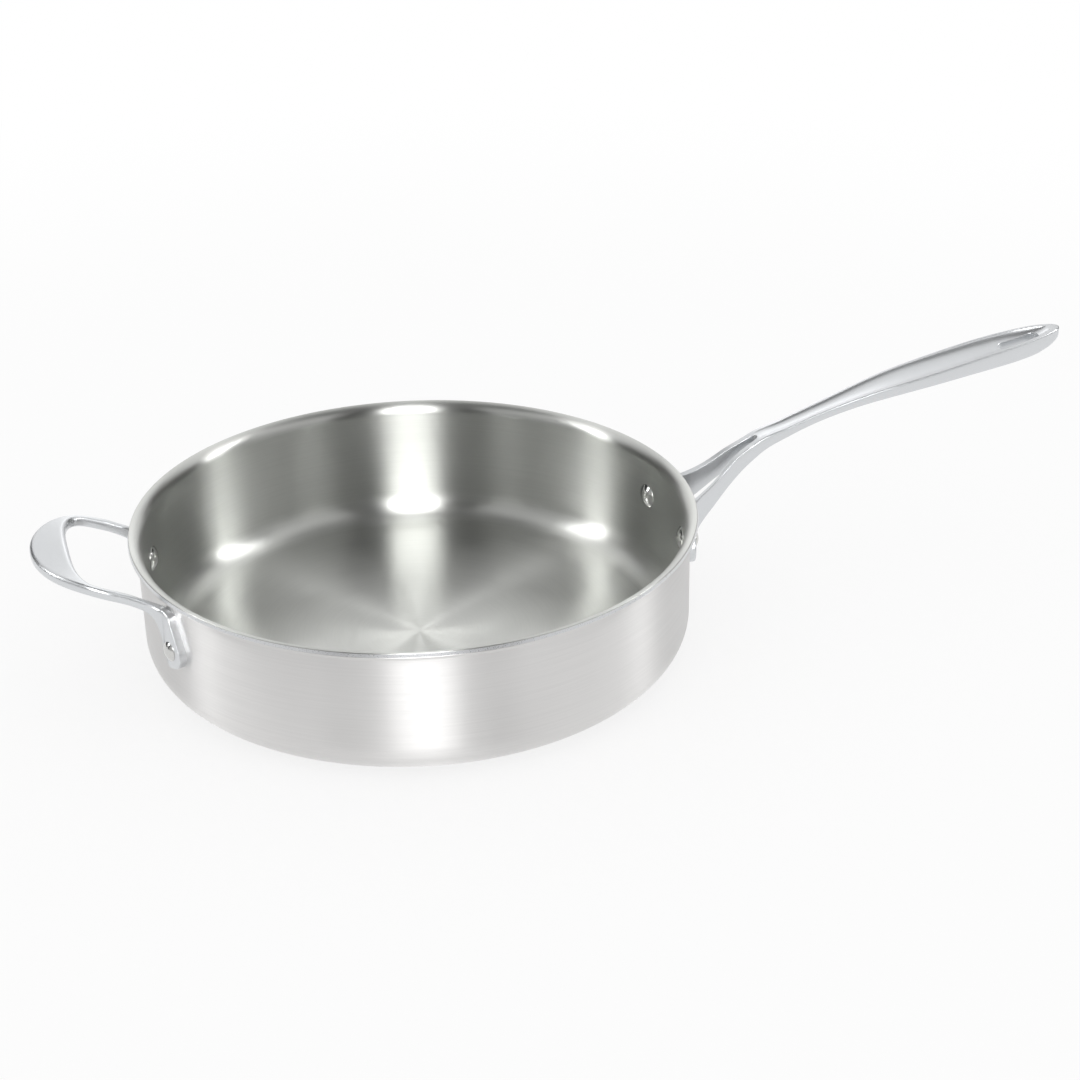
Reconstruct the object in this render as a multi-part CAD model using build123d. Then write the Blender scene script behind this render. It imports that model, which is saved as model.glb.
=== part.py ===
from build123d import *
import math
import os

# Clad stainless saute pan, forked cast long handle, looped helper handle.
# Frame: millimetres, +Z up, origin at the centre of the base's underside,
# +X towards the long handle, so the XZ plane is the plane of symmetry.

# Pan body
rim_diameter = 305.0
lip_overhang = 4.5
pan_height = 75.0
base_corner_radius = 19.0
inner_ply_thickness = 0.5
core_ply_thickness = 1.6
outer_ply_thickness = 0.5
lip_bend_radius = 6.5
lip_angle = 75.0

# Rivets
shank_diameter = 6.5
shank_clearance = 0.04
inner_head_diameter = 13.5
inner_head_height = 2.8
outer_head_diameter = 10.5
outer_head_height = 2.2
head_edge_height = 0.3

# Feet of both handles, cast to the curve of the wall: a broad round end that holds the
# rivet and a narrower one under the leg. Rivet and neck stand outside the leg's line by
# their offsets, and the drops are measured down from the root, where leg meets wall.
foot_thickness = 4.5
foot_edge_radius = 1.4
handle_foot_width = 17.5
handle_foot_neck = 12.0
handle_foot_drop = 25.7
handle_crown_rise = 1.5
handle_rivet_drop = 12.0
handle_rivet_offset = 5.75
handle_neck_offset = 1.15
helper_foot_width = 18.0
helper_foot_neck = 11.4
helper_foot_drop = 34.5
helper_crown_drop = 3.3
helper_rivet_drop = 24.6
helper_rivet_offset = 6.8
helper_neck_offset = 3.65

# Long handle, its root a little below the rim
handle_reach = 232.0
handle_root_drop = 13.5
handle_rise = 71.5
grip_width = 25.4
grip_depth = 10.6
grip_top_radius = 0.9
grip_under_radius = 3.2
root_depth = 22.0
root_spread = 46.0
leg_thickness = 4.0
crotch_reach = 49.0
crotch_radius = 2.6
groove_depth = 3.4
groove_rim = 1.7
hang_slot_length = 24.0
hang_slot_width = 8.0
hang_slot_inset = 13.0

# Helper handle, its root just below the rim
helper_reach = 54.3
helper_pad_length = 19.3
helper_half_width = 46.0
helper_leg_width = 5.0
helper_depth = 5.6
helper_root_depth = 9.0
helper_root_drop = 5.7
helper_rise = 17.7
helper_rise_power = 1.67
helper_loop_start = 17.0
helper_leg_splay = 0.06
helper_edge_radius = 1.7
helper_window_power = 3.3

# One overrun serves every cut
overrun = 5.0

# Worked out from the sizes above
rim_radius = rim_diameter / 2
wall_radius = rim_radius - lip_overhang
wall_thickness = inner_ply_thickness + core_ply_thickness + outer_ply_thickness
inner_radius = wall_radius - wall_thickness
foot_radius = wall_radius + foot_thickness
bend_centre_radius = inner_radius + lip_bend_radius
lip_outer_bend = lip_bend_radius - wall_thickness
lip_corner_radius = bend_centre_radius - lip_outer_bend * math.cos(math.radians(lip_angle))
lip_run = (rim_radius - lip_corner_radius) / math.sin(math.radians(lip_angle))
lip_top = lip_bend_radius * math.sin(math.radians(lip_angle)) + lip_run * math.cos(math.radians(lip_angle))
bend_centre_height = pan_height - lip_top
handle_root_height = pan_height - handle_root_drop
handle_rivet_height = handle_root_height - handle_rivet_drop
fork_gap_spread = root_spread - 2 * leg_thickness
helper_root_height = pan_height - helper_root_drop
helper_rivet_height = helper_root_height - helper_rivet_drop
helper_height = helper_root_height + helper_rise

# Long handle stations: share of the reach, then the shares of the rise, of the grip's
# width, of the grip's depth and of the underside's radius at that station.
grip_shares = [
    (0.224, 0.433, 0.545, 0.760, 0.50),
    (0.264, 0.469, 0.545, 0.620, 0.62),
    (0.313, 0.520, 0.545, 0.540, 0.62),
    (0.388, 0.596, 0.590, 0.510, 0.62),
    (0.469, 0.672, 0.720, 0.570, 0.75),
    (0.555, 0.742, 0.890, 0.680, 0.95),
    (0.651, 0.806, 0.985, 0.780, 1.00),
    (0.746, 0.868, 1.000, 0.880, 1.00),
    (0.837, 0.921, 0.955, 0.970, 1.00),
    (0.898, 0.953, 0.840, 1.000, 1.00),
    (0.946, 0.978, 0.660, 0.930, 0.90),
    (0.979, 0.991, 0.430, 0.740, 0.70),
    (0.995, 0.995, 0.220, 0.470, 0.40),
    (1.000, 0.991, 0.090, 0.240, 0.20),
]
# Fork stations: share of the reach, then the shares of the rise, of the root's spread
# and of the root's depth.
fork_shares = [
    (-0.030, -0.060, 1.100, 1.080),
    (0.003, 0.010, 0.935, 0.970),
    (0.041, 0.065, 0.740, 0.800),
    (0.086, 0.140, 0.570, 0.610),
    (0.142, 0.290, 0.385, 0.540),
    (0.187, 0.375, 0.315, 0.440),
]
# Groove stations: share of the reach, share of the full depth, share of the open width
# between the two rims.
groove_shares = [
    (0.237, 0.16, 0.70),
    (0.313, 0.36, 0.94),
    (0.469, 0.50, 0.98),
    (0.651, 0.74, 1.00),
    (0.787, 0.95, 1.00),
    (0.888, 1.00, 0.98),
    (0.935, 0.80, 0.90),
    (0.960, 0.30, 0.55),
]
# Inner edge of each leg: share of the crotch's reach, share of the gap's spread.
fork_gap_shares = [(0.72, 0.225), (0.50, 0.415), (0.30, 0.600), (0.10, 0.800), (-0.16, 1.050)]
# Angles round the helper's loop, as shares of the angle at which its legs pass the wall.
loop_shares = [0.0, 0.17, 0.33, 0.47, 0.59, 0.70, 0.81, 0.91, 1.0]
# Depth of the helper's casting at those angles, from the grip's to the root's.
loop_depth_shares = [0.0, 0.0, 0.0, 0.0, 0.0, 0.0, 0.10, 0.40, 1.0]


def grip_stations():
    """Height, half width, depth and radius of the long handle along X, from wall to tip."""
    rows = []
    for reach, rise, spread, depth in fork_shares:
        rows.append((wall_radius + reach * handle_reach, handle_root_height + rise * handle_rise,
                     spread * root_spread / 2, depth * root_depth, grip_top_radius))
    for reach, rise, width, depth, under in grip_shares:
        rows.append((wall_radius + reach * handle_reach, handle_root_height + rise * handle_rise,
                     width * grip_width / 2, depth * grip_depth, under * grip_under_radius))
    return rows


def between(rows, x, column):
    """Value of a station column at x, on straight lines between the stations."""
    for low, high in zip(rows, rows[1:]):
        if x <= high[0]:
            share = (x - low[0]) / (high[0] - low[0])
            return low[column] + share * (high[column] - low[column])
    return rows[-1][column]


def rounded_section(corners, plane, top_radius, under_radius):
    """Four-cornered section, first two corners on top, each corner rounded."""
    face = make_face(Polyline(*corners, close=True))
    for points, radius in ((corners[:2], top_radius), (corners[2:], under_radius)):
        face = fillet([face.vertices().sort_by_distance(point)[0] for point in points], radius)
    return plane * face


def radial_plane(angle, height):
    """Plane square to the wall at an angle round the pan, seen from its axis."""
    across = math.radians(angle)
    return Plane(origin=(0, 0, height), x_dir=(-math.sin(across), math.cos(across), 0),
                 z_dir=(math.cos(across), math.sin(across), 0))


def wall_angle(across):
    """Angle round the pan of a place on the wall, from its distance across the handle."""
    return math.degrees(math.asin(across / wall_radius))


handle_rivet_angle = wall_angle(root_spread / 2 + handle_rivet_offset)
handle_neck_angle = wall_angle(root_spread / 2 + handle_neck_offset)
helper_rivet_angle = wall_angle(helper_half_width + helper_rivet_offset)
helper_neck_angle = wall_angle(helper_half_width + helper_neck_offset)


def rivet_places():
    """Angle and height of each rivet by node name."""
    return {
        "long_handle_rivet_left": (handle_rivet_angle, handle_rivet_height),
        "long_handle_rivet_right": (-handle_rivet_angle, handle_rivet_height),
        "helper_rivet_left": (180 - helper_rivet_angle, helper_rivet_height),
        "helper_rivet_right": (180 + helper_rivet_angle, helper_rivet_height),
    }


def drilled(shape):
    """A shape with the four rivet holes drilled through it, square to the wall."""
    start = inner_radius - inner_head_height - overrun
    for angle, height in rivet_places().values():
        hole = Circle(shank_diameter / 2 + shank_clearance / 2)
        shape = shape - extrude(radial_plane(angle, height).offset(start) * hole, foot_radius + overrun - start)
    return shape


def shell_curve(depth):
    """Profile of the body at a depth below its cooking surface, from the axis to the lip."""
    wall = inner_radius + depth
    corner = base_corner_radius - wall_thickness + depth
    floor = wall_thickness - depth
    bend = lip_bend_radius - depth
    centre = (bend_centre_radius, bend_centre_height)
    turn = math.radians(lip_angle)
    bend_end = (centre[0] - bend * math.cos(turn), centre[1] + bend * math.sin(turn))
    lip_end = (bend_end[0] + lip_run * math.sin(turn), bend_end[1] + lip_run * math.cos(turn))
    half = math.radians(45)
    corner_middle = (wall - corner + corner * math.sin(half), floor + corner - corner * math.cos(half))
    bend_middle = (centre[0] - bend * math.cos(turn / 2), centre[1] + bend * math.sin(turn / 2))
    return [
        Line((0, floor), (wall - corner, floor)),
        ThreePointArc((wall - corner, floor), corner_middle, (wall, floor + corner)),
        Line((wall, floor + corner), (wall, centre[1])),
        ThreePointArc((wall, centre[1]), bend_middle, bend_end),
        Line(bend_end, lip_end),
    ]


def ply(upper, lower):
    """One layer of the clad sheet, between two depths below the cooking surface."""
    inside = shell_curve(upper)
    outside = shell_curve(lower)
    ends = [Line(inside[0] @ 0, outside[0] @ 0), Line(inside[-1] @ 1, outside[-1] @ 1)]
    profile = Plane.XZ * make_face(Curve() + inside + outside + ends)
    return drilled(revolve(profile, Axis.Z))


def foot(angle, neck_angle, bottom, top, width, neck):
    """Cast foot: an upright pad bent to the wall, wide at the rivet and narrow at the leg."""
    low, high = width / 2, neck / 2
    shift = wall_radius * math.sin(math.radians(neck_angle - angle))
    rise = top - high - bottom - low
    lean = math.atan2(shift, rise)
    slant = math.asin((low - high) / math.hypot(shift, rise))
    pad_plane = radial_plane(angle, bottom + low)
    points = []
    for radius, centre in ((low, (0, 0)), (high, (shift, rise))):
        for side in (1, -1):
            turn = slant if side > 0 else math.pi - slant
            points.append((centre[0] + radius * math.cos(turn - lean), centre[1] + radius * math.sin(turn - lean)))
    base = (-low * math.sin(lean), -low * math.cos(lean))
    crown = (shift + high * math.sin(lean), rise + high * math.cos(lean))
    outline = Curve() + [
        ThreePointArc(points[1], base, points[0]),
        Line(points[0], points[2]),
        ThreePointArc(points[2], crown, points[3]),
        Line(points[3], points[1]),
    ]
    block = extrude(pad_plane * make_face(outline), foot_radius + overrun)
    pad = block & extrude(Circle(foot_radius) - Circle(wall_radius), pan_height)
    outer_edges = pad.edges().filter_by(lambda edge: math.hypot((edge @ 0.5).X, (edge @ 0.5).Y)
                                        > foot_radius - foot_edge_radius)
    return fillet(outer_edges, foot_edge_radius)


def fork_gap():
    """Tool for the open space between the two legs, with a round end at the crotch."""
    crotch = wall_radius + crotch_reach
    left = [(wall_radius + reach * crotch_reach, side * fork_gap_spread / 2) for reach, side in fork_gap_shares]
    start = (crotch - crotch_radius, crotch_radius)
    flank = Spline(start, *left, tangents=[(-1, 0), (-1, 1)])
    other = mirror(flank, Plane.XZ)
    tip = ThreePointArc(start, (crotch, 0), (crotch - crotch_radius, -crotch_radius))
    back = Line(flank @ 1, other @ 1)
    return extrude(make_face(Curve() + [flank, other, tip, back]), handle_root_height + handle_rise + overrun)


def groove(rows):
    """Tool for the dished groove in the grip: ellipses that follow the two rims."""
    sections = []
    for reach, depth, width in groove_shares:
        x = wall_radius + reach * handle_reach
        half = width * (between(rows, x, 2) - groove_rim)
        place = Plane(origin=(x, 0, between(rows, x, 1)), x_dir=(0, 1, 0), z_dir=(1, 0, 0))
        sections.append(place * Ellipse(half, depth * groove_depth))
    return loft(sections)


def hang_slot():
    """Tool for the hanging slot near the tip."""
    middle = wall_radius + handle_reach - hang_slot_inset - hang_slot_length / 2
    slot = Pos(middle, 0, 0) * SlotOverall(hang_slot_length, hang_slot_width)
    return extrude(slot, handle_root_height + handle_rise + overrun)


def long_handle():
    """Forked cast handle: two legs and their feet, a rising neck and a grooved grip."""
    rows = grip_stations()
    sections = []
    for x, top, half, depth, under in rows:
        corners = [(-half, top), (half, top), (half, top - depth), (-half, top - depth)]
        place = Plane(origin=(x, 0, 0), x_dir=(0, 1, 0), z_dir=(1, 0, 0))
        sections.append(rounded_section(corners, place, min(grip_top_radius, half / 2), min(under, half / 2)))
    casting = loft(sections)
    casting = casting - fork_gap() - groove(rows) - hang_slot()
    for side in (1, -1):
        casting = casting + foot(side * handle_rivet_angle, side * handle_neck_angle,
                                 handle_root_height - handle_foot_drop, handle_root_height + handle_crown_rise,
                                 handle_foot_width, handle_foot_neck)
    casting = casting - extrude(Circle(wall_radius), handle_root_height + handle_rise)
    return drilled(casting)


def loop_radius(angle, along, across, power):
    """Distance from the loop's centre to its edge: a rounded end, then straight splayed legs."""
    cosine, sine = math.cos(angle), math.sin(angle)
    if cosine < 0:
        return across / (sine + helper_leg_splay * cosine)
    return ((cosine / along) ** power + (abs(sine) / across) ** power) ** (-1 / power)


def helper_top(x):
    """Height of the helper's upper face: nearly level at the pad, falling faster to the wall."""
    share = max(0.0, wall_radius + helper_reach - x) / helper_reach
    return helper_height - helper_rise * share ** helper_rise_power


def loop_section(angle, depth):
    """Section of the helper's loop in the upright plane at an angle from its centre."""
    centre = wall_radius + helper_loop_start
    along = helper_reach - helper_loop_start
    outer = loop_radius(abs(angle), along, helper_half_width, 2)
    inner = loop_radius(abs(angle), along - helper_pad_length, helper_half_width - helper_leg_width,
                        helper_window_power)
    place = Plane(origin=(-centre, 0, 0), x_dir=(-math.cos(angle), math.sin(angle), 0),
                  z_dir=(math.sin(angle), math.cos(angle), 0))
    tops = [helper_top(centre + reach * math.cos(angle)) for reach in (inner, outer)]
    corners = [(inner, tops[0]), (outer, tops[1]), (outer, tops[1] - depth), (inner, tops[0] - depth)]
    return rounded_section(corners, place, helper_edge_radius, helper_edge_radius)


def helper_handle():
    """Looped helper: a broad pad at the end of two slim legs, each with its foot."""
    sag = wall_radius - math.sqrt(wall_radius ** 2 - helper_half_width ** 2)
    end_angle = math.pi / 2 + math.atan2(helper_loop_start + sag + overrun / 2, helper_half_width)
    stations = []
    for share, deepening in zip(loop_shares, loop_depth_shares):
        stations.append((share * end_angle, helper_depth + deepening * (helper_root_depth - helper_depth)))
    ends = [(-angle, depth) for angle, depth in reversed(stations[1:])]
    casting = loft([loop_section(angle, depth) for angle, depth in ends + stations])
    for side in (1, -1):
        casting = casting + foot(180 + side * helper_rivet_angle, 180 + side * helper_neck_angle,
                                 helper_root_height - helper_foot_drop, helper_root_height - helper_crown_drop,
                                 helper_foot_width, helper_foot_neck)
    casting = casting - extrude(Circle(wall_radius), helper_height)
    return drilled(casting)


def dome(diameter, height):
    """Domed rivet head: a cap of a sphere on a plane, rising along +Z."""
    radius = diameter / 2
    ball = (radius ** 2 + height ** 2) / (2 * height)
    cap = Pos(0, 0, height - ball) * Sphere(ball)
    return cap & Pos(0, 0, height / 2) * Box(diameter, diameter, height)


def rivet(angle, height):
    """Solid rivet through wall and foot: broad domed head inside, closed head outside."""
    radial = radial_plane(angle, height)
    seat = inner_radius - math.sqrt(inner_radius ** 2 - (inner_head_diameter / 2) ** 2)
    head_rim = inner_radius - seat - head_edge_height
    tail_rim = foot_radius + head_edge_height
    head_plane = radial.offset(head_rim)
    head_edge = extrude(head_plane * Circle(inner_head_diameter / 2), inner_radius - head_rim)
    head_edge = head_edge & extrude(Circle(inner_radius), pan_height)
    head_dome = head_plane * Rot(180, 0, 0) * dome(inner_head_diameter, inner_head_height - head_edge_height)
    shank = extrude(head_plane * Circle(shank_diameter / 2), tail_rim - head_rim)
    tail_edge = extrude(radial.offset(foot_radius - seat) * Circle(outer_head_diameter / 2), seat + head_edge_height)
    tail_edge = tail_edge - extrude(Circle(foot_radius), pan_height)
    tail_dome = radial.offset(tail_rim) * dome(outer_head_diameter, outer_head_height - head_edge_height)
    return head_edge + head_dome + shank + tail_edge + tail_dome


def save(name, shape):
    """Write one named sub-part, which must be a single valid solid."""
    solids = shape.solids()
    if len(solids) != 1 or not solids[0].is_valid:
        raise ValueError(f"{name} is {len(solids)} solids")
    export_step(solids[0], f"parts/{name}.step")


os.makedirs("parts", exist_ok=True)
core_start = inner_ply_thickness
core_end = inner_ply_thickness + core_ply_thickness
save("inner_ply", ply(0, core_start))
save("core_ply", ply(core_start, core_end))
save("outer_ply", ply(core_end, wall_thickness))
save("long_handle", long_handle())
save("helper_handle", helper_handle())
for rivet_name, place in rivet_places().items():
    save(rivet_name, rivet(*place))
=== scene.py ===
import math

import bmesh
import bpy
import numpy as np
from bpy.props import FloatProperty, FloatVectorProperty, IntProperty, PointerProperty
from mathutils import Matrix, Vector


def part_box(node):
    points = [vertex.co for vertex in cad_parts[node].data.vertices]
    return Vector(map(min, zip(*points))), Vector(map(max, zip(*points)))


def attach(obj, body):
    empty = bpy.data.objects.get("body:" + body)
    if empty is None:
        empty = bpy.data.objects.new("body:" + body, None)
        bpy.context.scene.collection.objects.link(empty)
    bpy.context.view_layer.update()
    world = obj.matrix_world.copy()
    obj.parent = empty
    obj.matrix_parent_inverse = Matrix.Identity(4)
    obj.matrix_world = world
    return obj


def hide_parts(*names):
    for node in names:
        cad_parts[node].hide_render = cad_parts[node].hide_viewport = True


bl_info = {
    "name": "Clad saute pan",
    "version": (1, 0, 0),
    "blender": (4, 5, 0),
    "location": "View3D > Sidebar > Pan",
    "description": "Builds a clad steel saute pan with a forked long handle and a looped helper",
    "category": "Add Mesh",
}

# The CAD model, and its box before any piece is added.
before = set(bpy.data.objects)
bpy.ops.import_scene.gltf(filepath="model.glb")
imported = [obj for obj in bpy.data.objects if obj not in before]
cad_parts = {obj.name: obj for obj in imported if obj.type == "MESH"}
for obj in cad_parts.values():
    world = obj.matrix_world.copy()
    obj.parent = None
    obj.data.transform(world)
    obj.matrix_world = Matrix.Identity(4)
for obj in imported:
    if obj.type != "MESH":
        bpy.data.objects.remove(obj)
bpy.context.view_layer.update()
RIM_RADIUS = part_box("outer_ply")[1].x
PAN_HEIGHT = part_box("inner_ply")[1].z

MM = 0.001
# Points of a mesh that are nearer than this are one point.
MERGE = 0.002 * MM


def linear(hex_colour):
    """Turns an sRGB hex colour to linear red, green, blue and alpha."""
    srgb = np.array([int(hex_colour[place:place + 2], 16) / 255 for place in (1, 3, 5)])
    light = np.where(srgb <= 0.04045, srgb / 12.92, ((srgb + 0.055) / 1.055) ** 2.4)
    return (*light.tolist(), 1.0)


def length(name, description, millimetres):
    """A size as a property with a unit: stored in metres, given here in millimetres."""
    return FloatProperty(name=name, description=description, default=millimetres * MM,
                         unit="LENGTH", subtype="DISTANCE", precision=5)


def colour(name, description, hex_colour):
    """A finish colour as a property, its default given as sRGB hex."""
    return FloatVectorProperty(name=name, description=description, default=linear(hex_colour),
                               size=4, subtype="COLOR", min=0, max=1)


class PanBodySizes(bpy.types.PropertyGroup):
    """Sizes of the clad sheet body."""
    rim_radius: length("Rim radius", "Radius of the lip's outer edge", RIM_RADIUS / MM)
    height: length("Height", "Height of the lip's edge over the base", PAN_HEIGHT / MM)
    lip_overhang: length("Lip overhang", "How far the lip's edge stands outside the wall", 4.5)
    base_corner: length("Base corner", "Outer radius between base and wall", 19)
    inner_ply: length("Inner ply", "Thickness of the cooking surface's steel", 0.5)
    core_ply: length("Core", "Thickness of the aluminium core", 1.6)
    outer_ply: length("Outer ply", "Thickness of the outer steel", 0.5)
    lip_bend: length("Lip bend", "Inner radius of the pouring lip's bend", 6.5)
    edge_round: length("Edge rounding", "Rounding of the polished lip edge", 0.22)
    lip_angle: FloatProperty(name="Lip angle", description="How far the lip turns out from upright",
                             default=math.radians(75), subtype="ANGLE")
    segments: IntProperty(name="Segments", description="Steps round the pan", default=288,
                          min=32, max=512)


class RivetSizes(bpy.types.PropertyGroup):
    """Sizes and places of the four rivets."""
    shank: length("Shank", "Diameter of the shank", 6.5)
    inner_head: length("Inner head", "Diameter of the domed head inside the pan", 13.5)
    inner_rise: length("Inner rise", "Height of the domed head inside the pan", 2.8)
    outer_head: length("Outer head", "Diameter of the closed head on the foot", 10.5)
    outer_rise: length("Outer rise", "Height of the closed head on the foot", 2.2)
    head_edge: length("Head edge", "Height of the upright edge of both heads", 0.3)
    handle_across: length("Long handle spread", "From the middle plane to its rivets", 28.75)
    handle_height: length("Long handle rivet height", "Height of its rivets over the base", 49.5)
    helper_across: length("Helper spread", "From the middle plane to its rivets", 52.8)
    helper_height: length("Helper rivet height", "Height of its rivets over the base", 44.7)


class LongHandleSizes(bpy.types.PropertyGroup):
    """Sizes of the forked cast handle."""
    reach: length("Reach", "From the wall to the tip", 232)
    root_height: length("Root height", "Height of its upper face at the wall", 61.5)
    rise: length("Rise", "From the root's upper face to the tip's", 71.49)
    grip_width: length("Grip width", "Widest width of the grip", 25.4)
    grip_depth: length("Grip depth", "Deepest depth of the grip", 10.6)
    top_round: length("Top rounding", "Rounding of the upper edges", 0.9)
    under_round: length("Under rounding", "Rounding of the lower edges", 3.2)
    crotch: length("Crotch", "From the wall to where the two legs part", 49)
    crotch_radius: length("Crotch radius", "Radius of the gap's round end", 2.6)
    groove_depth: length("Groove depth", "Depth of the dished groove", 3.4)
    groove_rim: length("Groove rim", "Width of the rim beside the groove", 1.7)
    slot_length: length("Slot length", "Length of the hanging slot", 24)
    slot_width: length("Slot width", "Width of the hanging slot", 8)
    slot_inset: length("Slot inset", "From the hanging slot's end to the tip", 13)
    slot_round: length("Slot rounding", "Rounding of the slot's and the fork's edges", 0.45)
    foot_thickness: length("Foot thickness", "How far the feet stand out from the wall", 4.5)
    foot_radius: length("Foot radius", "Radius of the foot's round end about the rivet", 8.75)
    neck_radius: length("Neck radius", "Radius of the foot's narrow end under the leg", 6)
    neck_shift: length("Neck shift", "From the rivet to the narrow end, across", 4.6)
    neck_rise: length("Neck rise", "From the round end's centre to the narrow end's", 12.45)
    foot_centre: length("Foot centre", "Height of the round end's centre", 44.55)
    foot_round: length("Foot rounding", "Rounding of the foot's outer edges", 1.4)
    seat_round: length("Seat rounding", "Rounding of the foot's edges at the wall", 0.2)


class HelperSizes(bpy.types.PropertyGroup):
    """Sizes of the looped helper handle."""
    reach: length("Reach", "From the wall to the loop's end", 54.3)
    pad_length: length("Pad length", "Length of the broad grip pad in the middle", 19.3)
    half_width: length("Half width", "From the middle plane to the leg's outer face", 46)
    leg_width: length("Leg width", "Width of each leg", 5)
    depth: length("Depth", "Depth of the casting", 5.6)
    root_height: length("Root height", "Height of the upper face where it passes the wall", 69.3)
    rise: length("Rise", "From there to the pad's upper face", 17.7)
    loop_start: length("Loop start", "From the wall to the loop's centre", 17)
    rise_power: FloatProperty(name="Rise power", default=1.67,
                              description="How fast the upper face falls to the wall")
    window_power: FloatProperty(name="Window power", default=3.3,
                                description="Squareness of the finger opening")
    inner_round: length("Inner rounding", "Rounding of the opening's upper edge", 3.2)
    outer_round: length("Outer rounding", "Rounding of the outer upper edge", 2)
    under_round: length("Under rounding", "Rounding of the lower edges", 1.7)
    foot_thickness: length("Foot thickness", "How far the feet stand out from the wall", 4.5)
    foot_radius: length("Foot radius", "Radius of the foot's round end about the rivet", 9)
    neck_radius: length("Neck radius", "Radius of the foot's narrow end under the leg", 5.7)
    neck_shift: length("Neck shift", "From the rivet to the narrow end, across", 3.15)
    neck_rise: length("Neck rise", "From the round end's centre to the narrow end's", 16.5)
    foot_centre: length("Foot centre", "Height of the round end's centre", 43.8)
    foot_round: length("Foot rounding", "Rounding of the foot's outer edges", 1.4)
    seat_round: length("Seat rounding", "Rounding of the foot's edges at the wall", 0.2)


class FinishColours(bpy.types.PropertyGroup):
    """Colours of the five finishes and of the stage."""
    cooking_steel: colour("Cooking steel", "Fine brushed stainless steel inside", "#C3C4C1")
    outer_steel: colour("Outer steel", "Satin brushed stainless steel outside", "#E2E1E0")
    cast_steel: colour("Cast steel", "Tumbled and polished stainless casting", "#D6D8DA")
    rivet_steel: colour("Rivet steel", "Polished stainless rivets", "#CFCFCD")
    core_aluminium: colour("Core aluminium", "Machined edge of the aluminium core", "#D9DADC")
    floor: colour("Floor", "Matt white studio table", "#F4F4F4")


class StageSettings(bpy.types.PropertyGroup):
    """Camera, and levels of the lamps and cards that the metal reflects."""
    lens: FloatProperty(name="Lens", description="Focal length for a 36 mm sensor",
                        default=73.515, unit="CAMERA")
    camera_place: FloatVectorProperty(name="Camera place", description="Where the camera stands",
                                      default=(-0.23595, -1.03853, 0.59842),
                                      unit="LENGTH", subtype="TRANSLATION")
    camera_turn: FloatVectorProperty(name="Camera turn", description="How the camera is turned",
                                     default=[math.radians(angle) for angle in
                                              (62.995, 0.99852, -16.92996)],
                                     unit="ROTATION", subtype="EULER")
    lamp_level: FloatProperty(name="Lamps", description="Radiance of a lamp whose share is 1",
                              default=8)
    room_level: FloatProperty(name="Room", description="Radiance of a card whose share is 1",
                              default=0.3)


def smooth_curve(knots, values, places):
    """Natural cubic spline: between knots a cubic through the values whose second derivative runs
    on a straight line from knot to knot, zero at both ends, found from one system of equations."""
    knots, values, places = (np.asarray(row, float) for row in (knots, values, places))
    gaps = np.diff(knots)
    columns = values.reshape(len(knots), -1)
    slopes = np.diff(columns, axis=0) / gaps[:, None]
    system = np.eye(len(knots))
    right = np.zeros_like(columns)
    inner = np.arange(1, len(knots) - 1)
    system[inner, inner - 1] = gaps[:-1]
    system[inner, inner] = 2 * (gaps[:-1] + gaps[1:])
    system[inner, inner + 1] = gaps[1:]
    right[inner] = 6 * np.diff(slopes, axis=0)
    bend = np.linalg.solve(system, right)
    low = np.clip(np.searchsorted(knots, places) - 1, 0, len(knots) - 2)
    gap = gaps[low][:, None]
    before = (knots[low + 1] - places)[:, None] / gap
    after = 1 - before
    read = (before * columns[low] + after * columns[low + 1]
            + ((before ** 3 - before) * bend[low] + (after ** 3 - after) * bend[low + 1])
            * gap ** 2 / 6)
    return read.reshape(len(places), *values.shape[1:])


def run_lengths(points):
    """Running length along a row of points."""
    return np.concatenate([[0], np.cumsum(np.linalg.norm(np.diff(points, axis=0), axis=1))])


def arc(centre, radius, start, end, count):
    """Points on a circle's arc: centre plus radius times the cosine and the sine of evenly spaced
    angles."""
    angles = np.radians(np.linspace(start, end, count))
    return np.asarray(centre) + radius * np.stack([np.cos(angles), np.sin(angles)], axis=1)


def revolved(profile, origin, along, across, count):
    """Surface of revolution: a profile point of radius r and height t goes to origin + t along +
    r times the direction that turns from across through one full turn in count steps."""
    origin, along, across = (np.asarray(v, float) for v in (origin, along, across))
    third = np.cross(along, across)
    turn = np.linspace(0, 2 * math.pi, count, endpoint=False)[:, None, None]
    out = np.cos(turn) * across + np.sin(turn) * third
    return origin + profile[None, :, 1:2] * along + profile[None, :, 0:1] * out


def grid_quads(rows, columns, rows_closed, columns_closed):
    """Corner indices of the quads of a grid of points, closed in either direction where told."""
    row = np.arange(rows if rows_closed else rows - 1)[:, None]
    column = np.arange(columns if columns_closed else columns - 1)[None, :]
    next_row, next_column = (row + 1) % rows, (column + 1) % columns
    corners = [row * columns + column, next_row * columns + column,
               next_row * columns + next_column, row * columns + next_column]
    corners = [np.broadcast_to(corner, (row.size, column.size)) for corner in corners]
    return np.stack(corners, axis=-1).reshape(-1, 4)


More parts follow.
